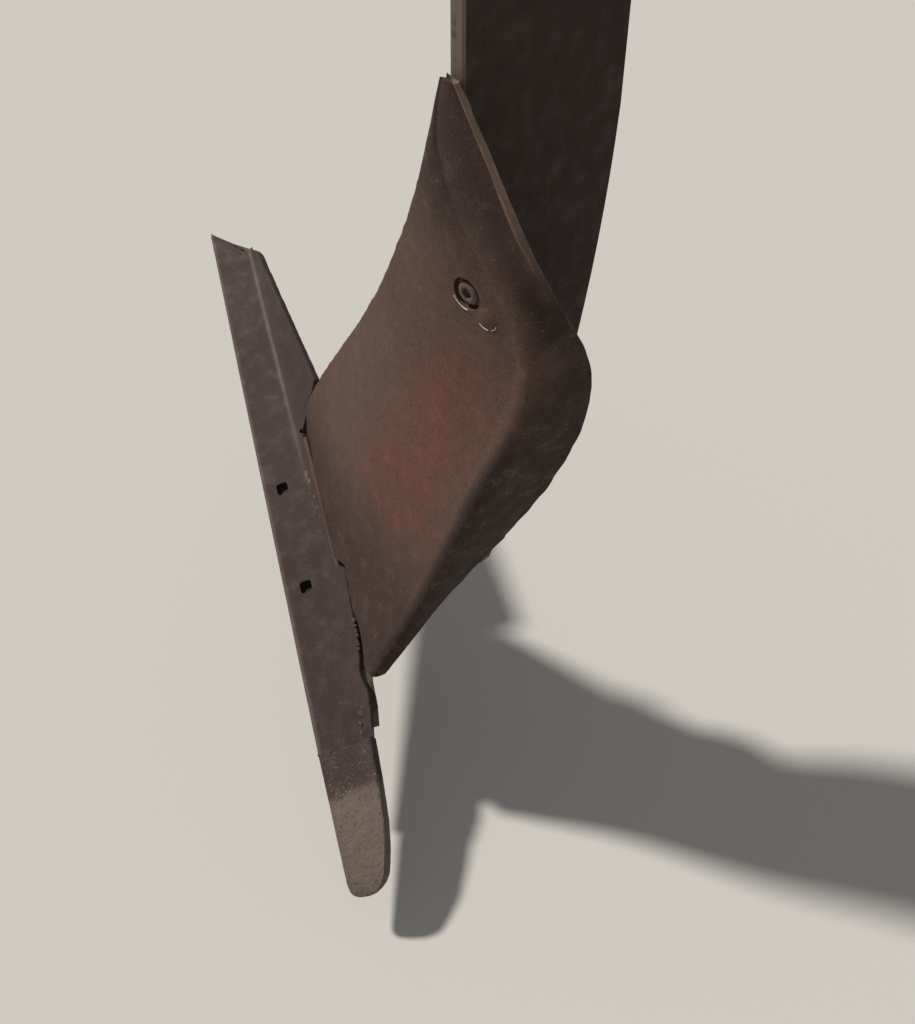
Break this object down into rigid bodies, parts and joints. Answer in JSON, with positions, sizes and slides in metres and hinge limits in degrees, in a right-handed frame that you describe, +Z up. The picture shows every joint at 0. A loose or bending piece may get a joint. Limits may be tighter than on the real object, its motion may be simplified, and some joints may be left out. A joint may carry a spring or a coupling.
{
  "type": "subsoiler body",
  "caption": "One-sided subsoiler body: flat curved leg with a lifting mouldboard, a long swept share and a welded point, bolted through a frog at the foot.",
  "frame": {"origin": "centre of the pivot hole in the leg head, in the middle of the leg's thickness", "axes": "+X is the travel direction, +Y points to the land side away from the share's wing, +Z is up"},
  "size_m": [0.421, 0.682, 1.2212],
  "materials": {
    "leg_steel": "dark brown even rust with traces of grey green paint on the leading edge",
    "board_steel": "pitted rust brown with orange patches",
    "share_steel": "purple brown rust, worn smooth by soil",
    "point_steel": "beige brown worn hard facing",
    "frog_steel": "dull rust over traces of olive grey paint",
    "stay_steel": "rusted flat bar",
    "bolt_steel": "rusted fastener"
  },
  "bodies": {
    "root": {"leg": "leg_steel", "mouldboard": "board_steel", "share": "share_steel", "share_point": "point_steel", "frog": "frog_steel", "board_bracket": "frog_steel", "board_stay": "stay_steel", "share_stay": "stay_steel", "foot_bolts": "bolt_steel", "board_bolt_upper": "bolt_steel", "board_bolt_lower": "bolt_steel", "board_nut_upper": "bolt_steel", "board_nut_lower": "bolt_steel"}
  },
  "joints": []
}
